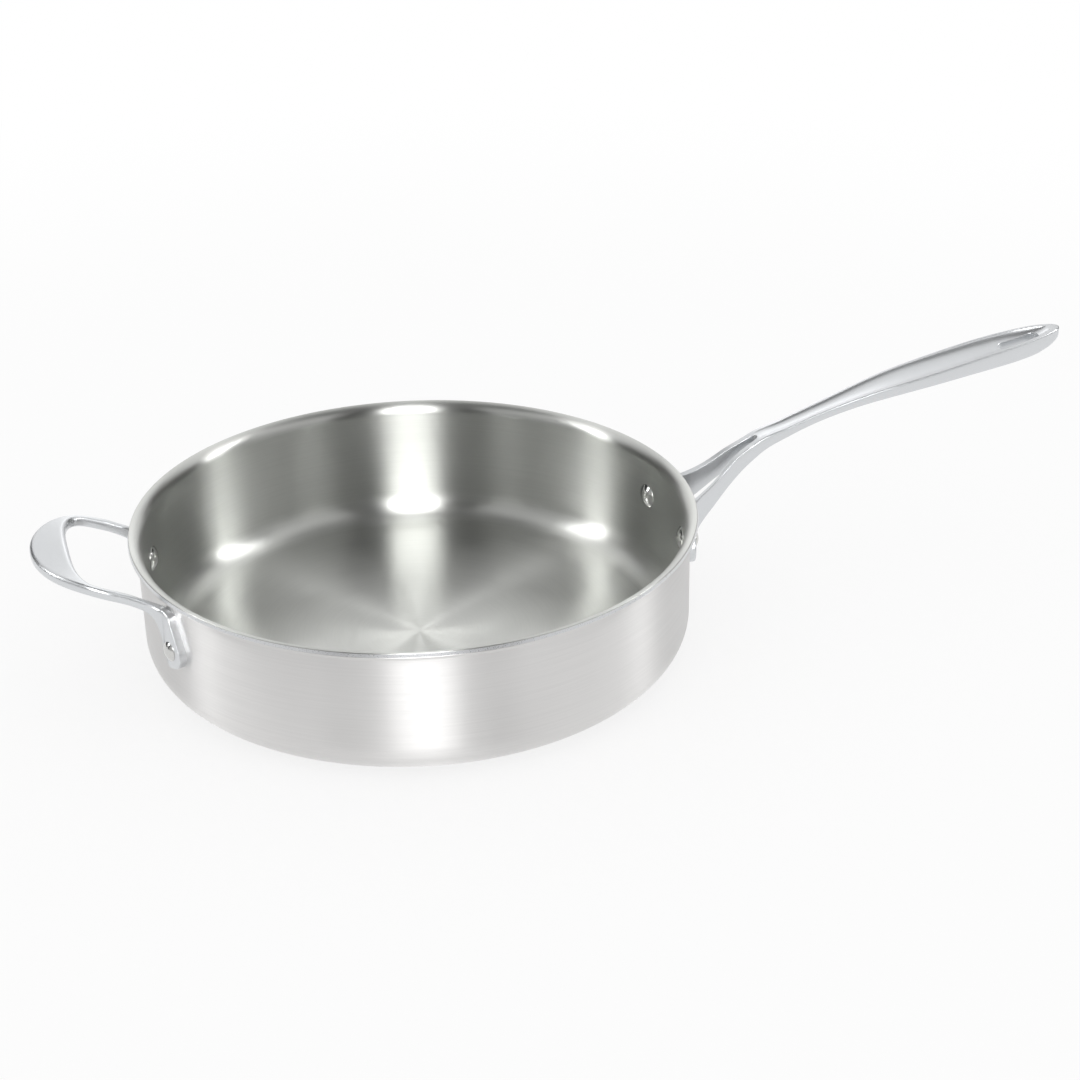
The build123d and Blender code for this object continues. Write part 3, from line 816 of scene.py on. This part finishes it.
class PAN_OT_long_handle(bpy.types.Operator):
    """Builds the long handle: sections along half the casting, mirrored to the other side"""
    bl_idname = "pan.long_handle"
    bl_label = "Long handle"

    def execute(self, context):
        scene = context.scene
        sizes, body = scene.pan_handle, scene.pan_body
        wall = body.rim_radius - body.lip_overhang
        grip = grip_rings(sizes, wall)
        rivet_angle = math.asin(scene.pan_rivets.handle_across / wall)
        inner_edge = (sizes.slot_round, sizes.seat_round)
        outer_edge = (sizes.top_round, sizes.foot_round)
        legs = leg_rings(LEG_LINES * MM, sizes, rivet_angle, wall,
                         (inner_edge, outer_edge, outer_edge, inner_edge), HANDLE_LEG_STEPS)
        rings = np.concatenate([close_ring(grip[:1]), grip, legs[1:], close_ring(legs[-1:])])
        make_piece("forked_long_handle", *mirrored(rings),
                   casting_material(scene.pan_finish.cast_steel), "cast_steel", "long_handle",
                   crease=CASTING_CREASE)
        return {"FINISHED"}


class PAN_OT_helper(bpy.types.Operator):
    """Builds the helper handle: sections round half its loop, down one leg to its foot, mirrored"""
    bl_idname = "pan.helper"
    bl_label = "Helper handle"

    def execute(self, context):
        scene = context.scene
        sizes, body = scene.pan_helper, scene.pan_body
        wall = body.rim_radius - body.lip_overhang
        loop, loop_end = loop_rings(sizes, wall)
        lines = np.concatenate([loop_end[None], HELPER_LEG_LINES * MM])
        rivet_angle = math.asin(scene.pan_rivets.helper_across / wall)
        edges = ((sizes.inner_round, sizes.seat_round), (sizes.outer_round, sizes.foot_round),
                 (sizes.under_round, sizes.foot_round), (sizes.under_round, sizes.seat_round))
        legs = leg_rings(lines, sizes, rivet_angle, wall, edges, HELPER_LEG_STEPS)
        rings = np.concatenate([loop, legs[1:], close_ring(legs[-1:])])
        # The sections are worked out on the long handle's side of the pan. They go opposite.
        rings = rings * np.array([-1, 1, 1])
        make_piece("looped_helper_handle", *mirrored(rings),
                   casting_material(scene.pan_finish.cast_steel), "cast_steel", "helper_handle",
                   crease=CASTING_CREASE)
        return {"FINISHED"}


# Stage

SENSOR_WIDTH = 36
# How far the camera sees, in metres.
VIEW_END = 50
# The lamps lie on a sphere round the pan, and the room's cards on one just outside it, in metres.
LAMP_DISTANCE, ROOM_DISTANCE = 2.5, 2.6
CARD_STEPS_ROUND, CARD_STEPS_UP = 24, 8
# The table's rings bunch towards the pan by a power.
TABLE_RADIUS, TABLE_BUNCHING = 6, 1.5
TABLE_RINGS, TABLE_TURNS = 12, 96
# The table lies this much under the pan's base, so that the two faces don't fill one place.
TABLE_DROP = 0.2 * MM
# Share of white light that the table gives off near the pan, and the distances from the pan in
# metres between which the rest of it turns to white light too.
TABLE_GLOW = 0.75
TABLE_FADE = (0.5, 1.1)
WHITE = (1, 1, 1, 1)

# Each card's name, whether it is a lamp, its share of the lamps' or the room's level, then in
# degrees the two turns to the right of the camera's side and the two heights that it lies between.
CARDS = (
    ("front_softbox", True, 1.25, -12, 12, 20, 48),
    ("front_upper", True, 0.5, -12, 12, 48, 72),
    ("strip_left", True, 1.75, -96, -89, 17, 50),
    ("strip_right", True, 1.55, 93, 100, 17, 50),
    ("ring_left", True, 0.12, -128, -36, 44, 62),
    ("ring_right", True, 0.14, 36, 128, 44, 62),
    ("ring_end_left", True, 0.13, -146, -100, 33, 44),
    ("ring_end_right", True, 0.15, 103, 146, 33, 44),
    ("near_left", False, 0.15, -36, -12, 0, 90),
    ("near_right", False, 0.05, 12, 36, 0, 90),
    ("middle_left", False, 1.7, -76, -36, 0, 44),
    ("middle_right", False, 2.1, 36, 76, 0, 44),
    ("beside_left", False, 0.2, -89.5, -76, 0, 44),
    ("beside_right", False, 0.2, 76, 92.5, 0, 44),
    ("far_left", False, 0.03, -150, -96, 0, 44),
    ("far_right", False, 0.03, 100, 150, 0, 44),
    ("over_left", False, 0.5, -180, -36, 60, 90),
    ("over_right", False, 0.5, 36, 180, 60, 90),
    ("over_front", False, 0.6, -12, 12, 72, 90),
    ("rear_strip", True, 0.25, 173, 187, 16, 36),
)


def stage_piece(name, points, quads, material, hidden_from=()):
    """Puts a surface of the stage into a mesh object, hidden from some kinds of ray."""
    mesh = bpy.data.meshes.new(name)
    mesh.from_pydata(points.reshape(-1, 3), [], quads.tolist())
    mesh.materials.append(material)
    piece = bpy.data.objects.new(name, mesh)
    bpy.context.scene.collection.objects.link(piece)
    for ray in hidden_from:
        setattr(piece, "visible_" + ray, False)


def card(name, level, turn, height, distance, toward):
    """A curved lamp or card that only reflections see: part of a sphere round the pan, between
    two turns from the camera's side and two heights over the table, all given as angles."""
    around = np.radians(np.linspace(*turn, CARD_STEPS_ROUND))[:, None] + toward
    up = np.radians(np.linspace(*height, CARD_STEPS_UP))[None, :]
    points = distance * np.stack([np.cos(around) * np.cos(up), np.sin(around) * np.cos(up),
                                  np.sin(up) + 0 * around], axis=2)
    material = bpy.data.materials.new(name)
    tree = empty_tree(material)
    glow = add(tree, "ShaderNodeEmission", {"Color": (level, level, level, 1), "Strength": 1.0})
    add(tree, "ShaderNodeOutputMaterial", {"Surface": glow.outputs[0]})
    stage_piece(name, points, grid_quads(CARD_STEPS_ROUND, CARD_STEPS_UP, False, False), material,
                ("camera", "diffuse", "shadow"))


def table_finish(tint):
    """Matt white table. To the camera and to reflections part of its light is its own, which
    keeps the pan's shadow soft, and far off all of it is, which makes the background white. From
    below it is clear, so that the pan's underside can be looked at."""
    material = bpy.data.materials.new("matt_white_table")
    tree = empty_tree(material)
    rays = add(tree, "ShaderNodeLightPath").outputs
    seen = add(tree, "ShaderNodeMath", {0: rays["Is Camera Ray"], 1: rays["Is Glossy Ray"]},
               operation="MAXIMUM").outputs[0]
    seen = add(tree, "ShaderNodeMath", {0: seen, 1: rays["Is Transmission Ray"]},
               operation="MAXIMUM").outputs[0]
    matt = add(tree, "ShaderNodeBsdfDiffuse", {"Color": tint}).outputs[0]
    white = add(tree, "ShaderNodeEmission", {"Color": WHITE, "Strength": 1.0}).outputs[0]
    near = add(tree, "ShaderNodeMixShader", {0: TABLE_GLOW, 1: matt, 2: white}).outputs[0]
    place = add(tree, "ShaderNodeTexCoord").outputs["Object"]
    away = add(tree, "ShaderNodeVectorMath", {0: place}, operation="LENGTH").outputs["Value"]
    fade = add(tree, "ShaderNodeMapRange",
               {"Value": away, "From Min": TABLE_FADE[0], "From Max": TABLE_FADE[1]},
               interpolation_type="SMOOTHSTEP").outputs[0]
    shown = add(tree, "ShaderNodeMixShader", {0: fade, 1: near, 2: white}).outputs[0]
    upper = add(tree, "ShaderNodeMixShader", {0: seen, 1: matt, 2: shown}).outputs[0]
    below = add(tree, "ShaderNodeNewGeometry").outputs["Backfacing"]
    clear = add(tree, "ShaderNodeBsdfTransparent").outputs[0]
    one_sided = add(tree, "ShaderNodeMixShader", {0: below, 1: upper, 2: clear}).outputs[0]
    add(tree, "ShaderNodeOutputMaterial", {"Surface": one_sided})
    return material


class PAN_OT_stage(bpy.types.Operator):
    """Builds the table, the lamps, the cards that metal reflects, and the camera"""
    bl_idname = "pan.stage"
    bl_label = "Stage"

    def execute(self, context):
        scene, settings = context.scene, context.scene.pan_stage
        camera = bpy.data.objects.new("camera", bpy.data.cameras.new("camera"))
        scene.collection.objects.link(camera)
        camera.location = settings.camera_place
        camera.rotation_euler = settings.camera_turn
        camera.data.lens = settings.lens
        camera.data.sensor_width = SENSOR_WIDTH
        camera.data.clip_end = VIEW_END
        scene.camera = camera

        rings = np.linspace(0, 1, TABLE_RINGS) ** TABLE_BUNCHING * TABLE_RADIUS
        turns = np.linspace(0, 2 * math.pi, TABLE_TURNS, endpoint=False)[:, None]
        points = np.stack([rings * np.cos(turns), rings * np.sin(turns),
                           np.full((TABLE_TURNS, TABLE_RINGS), -TABLE_DROP)], axis=2)
        # The corners are taken in the other order, so that the table faces up.
        quads = grid_quads(TABLE_TURNS, TABLE_RINGS, True, False)[:, ::-1]
        stage_piece("table", points, quads, table_finish(scene.pan_finish.floor))

        scene.world = bpy.data.worlds.new("studio")
        tree = empty_tree(scene.world)
        white = add(tree, "ShaderNodeBackground", {"Color": WHITE, "Strength": 1.0}).outputs[0]
        add(tree, "ShaderNodeOutputWorld", {"Surface": white})

        toward = math.atan2(camera.location.y, camera.location.x)
        for name, lamp, share, turn_from, turn_to, low, high in CARDS:
            level = (settings.lamp_level if lamp else settings.room_level) * share
            card(name, level, (turn_from, turn_to), (low, high),
                 LAMP_DISTANCE if lamp else ROOM_DISTANCE, toward)
        scene.view_settings.view_transform = "Standard"
        return {"FINISHED"}


BUILDERS = (PAN_OT_body, PAN_OT_rivets, PAN_OT_long_handle, PAN_OT_helper, PAN_OT_stage)
GROUPS = (("pan_body", PanBodySizes), ("pan_rivets", RivetSizes), ("pan_handle", LongHandleSizes),
          ("pan_helper", HelperSizes), ("pan_finish", FinishColours), ("pan_stage", StageSettings))


class PAN_PT_panel(bpy.types.Panel):
    """Lists the sizes and the builders of the pan"""
    bl_idname = "PAN_PT_panel"
    bl_label = "Saute pan"
    bl_space_type = "VIEW_3D"
    bl_region_type = "UI"
    bl_category = "Pan"

    def draw(self, context):
        for name, group in GROUPS:
            box = self.layout.box()
            box.label(text=group.__doc__)
            values = getattr(context.scene, name)
            for key in group.__annotations__:
                box.prop(values, key)
        for builder in BUILDERS:
            self.layout.operator(builder.bl_idname)


def register():
    """Gives every scene the pan's settings, and Blender the operators and the panel."""
    for _, group in GROUPS:
        bpy.utils.register_class(group)
    for name, group in GROUPS:
        setattr(bpy.types.Scene, name, PointerProperty(type=group))
    for builder in (*BUILDERS, PAN_PT_panel):
        bpy.utils.register_class(builder)


def unregister():
    """Takes away what register gave, the last first."""
    for builder in (PAN_PT_panel, *reversed(BUILDERS)):
        bpy.utils.unregister_class(builder)
    for name, group in reversed(GROUPS):
        delattr(bpy.types.Scene, name)
        bpy.utils.unregister_class(group)


def main():
    """Builds the pan and its stage."""
    register()
    bpy.ops.pan.body()
    bpy.ops.pan.rivets()
    bpy.ops.pan.long_handle()
    bpy.ops.pan.helper()
    bpy.ops.pan.stage()


if __name__ == "__main__":
    main()
